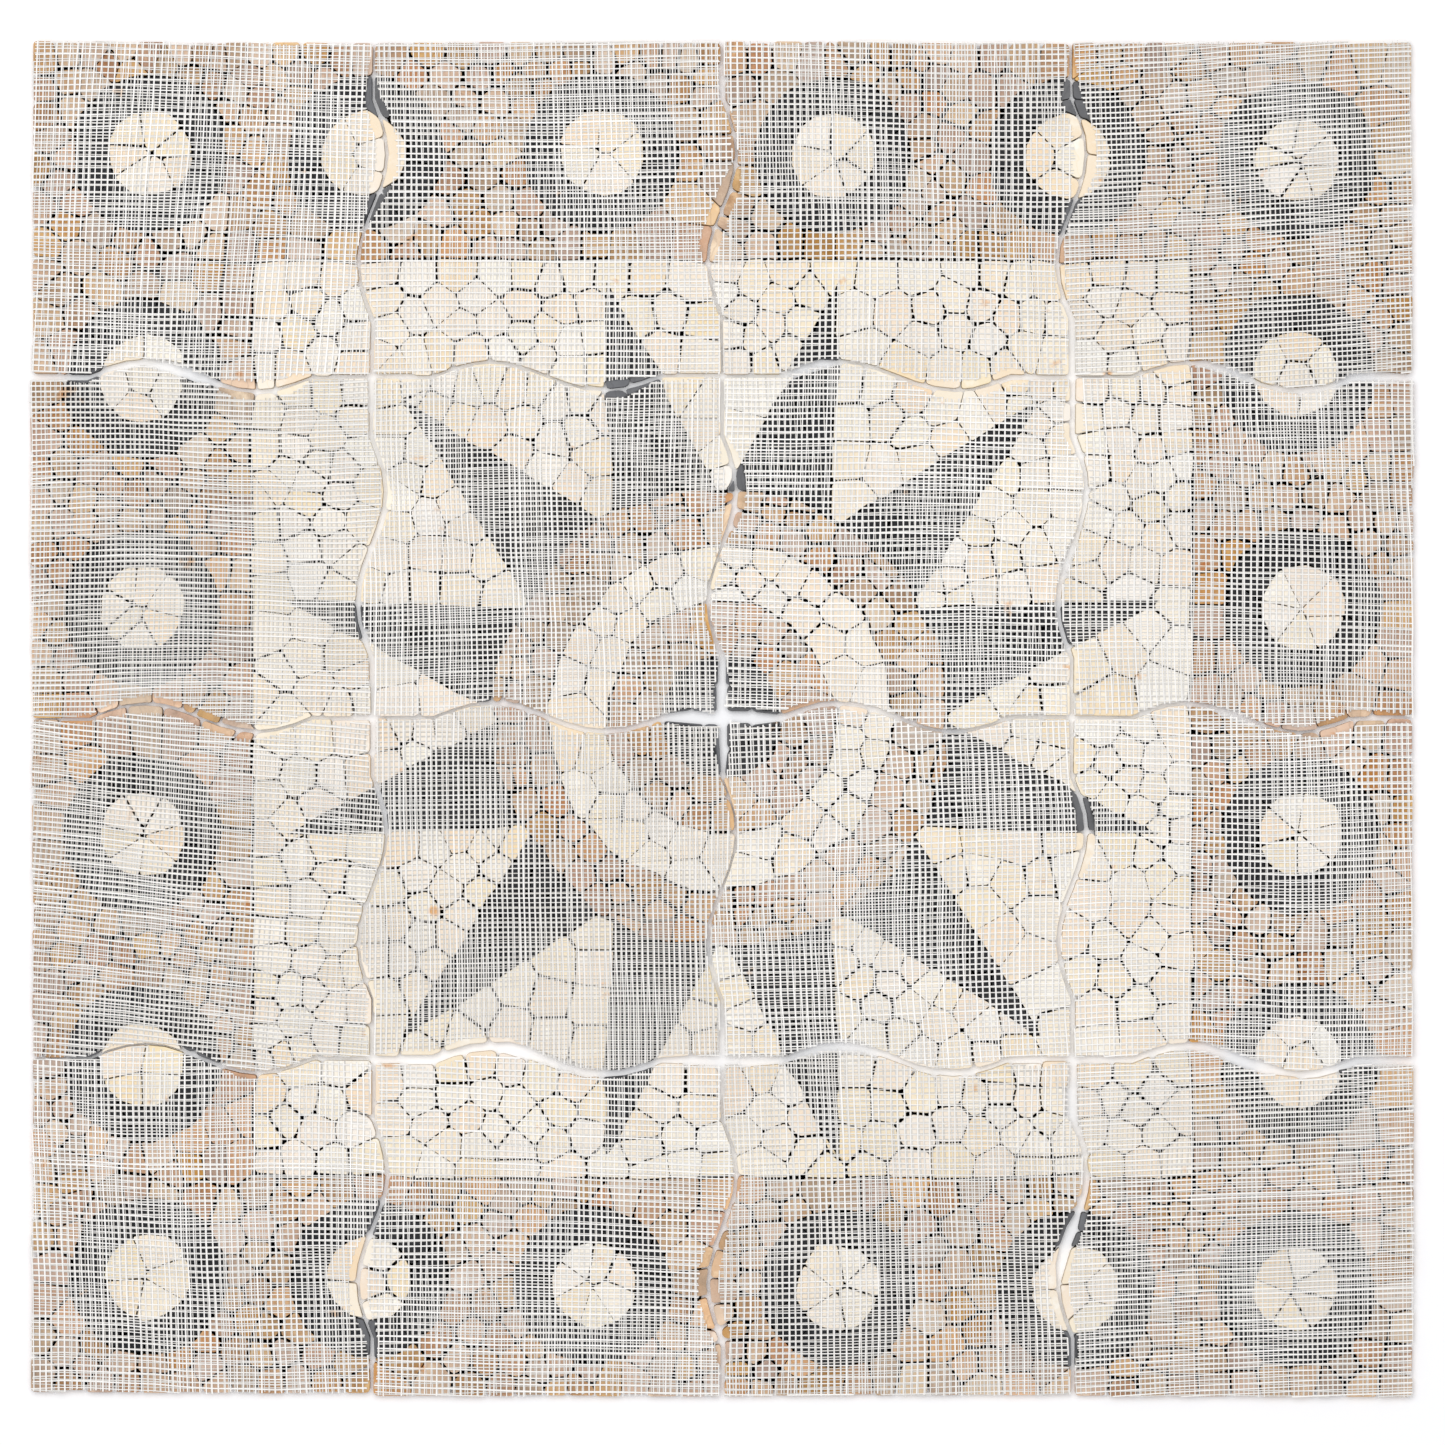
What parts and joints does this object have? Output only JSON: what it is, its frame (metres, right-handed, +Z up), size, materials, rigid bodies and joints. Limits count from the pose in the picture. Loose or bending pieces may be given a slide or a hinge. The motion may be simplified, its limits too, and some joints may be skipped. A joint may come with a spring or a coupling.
{
  "type": "mosaic panel",
  "caption": "Square broken-marble mosaic medallion in interlocking net-backed sheets, lying face down with the net side up.",
  "frame": {"origin": "centre of the panel's box, on the ground plane that the finished stone faces lie on", "axes": "+Z up, from the finished faces to the net backing; +X along the top row of sheets, +Y up the columns as in the picture"},
  "size_m": [1.2172, 1.192, 0.0104],
  "materials": {
    "cream_marble": "honed",
    "tan_marble": "honed",
    "charcoal_marble": "honed",
    "fibre_net": "open glass-fibre net, glued"
  },
  "bodies": {
    "root": {"stones_r1c1": "tan_marble", "stones_r1c2": "tan_marble", "stones_r1c3": "tan_marble", "stones_r1c4": "tan_marble", "stones_r2c1": "tan_marble", "stones_r2c2": "cream_marble", "stones_r2c3": "cream_marble", "stones_r2c4": "tan_marble", "stones_r3c1": "tan_marble", "stones_r3c2": "cream_marble", "stones_r3c3": "cream_marble", "stones_r3c4": "tan_marble", "stones_r4c1": "tan_marble", "stones_r4c2": "tan_marble", "stones_r4c3": "tan_marble", "stones_r4c4": "tan_marble", "net_r1c1": "fibre_net", "net_r1c2": "fibre_net", "net_r1c3": "fibre_net", "net_r1c4": "fibre_net", "net_r2c1": "fibre_net", "net_r2c2": "fibre_net", "net_r2c3": "fibre_net", "net_r2c4": "fibre_net", "net_r3c1": "fibre_net", "net_r3c2": "fibre_net", "net_r3c3": "fibre_net", "net_r3c4": "fibre_net", "net_r4c1": "fibre_net", "net_r4c2": "fibre_net", "net_r4c3": "fibre_net", "net_r4c4": "fibre_net"}
  },
  "joints": []
}
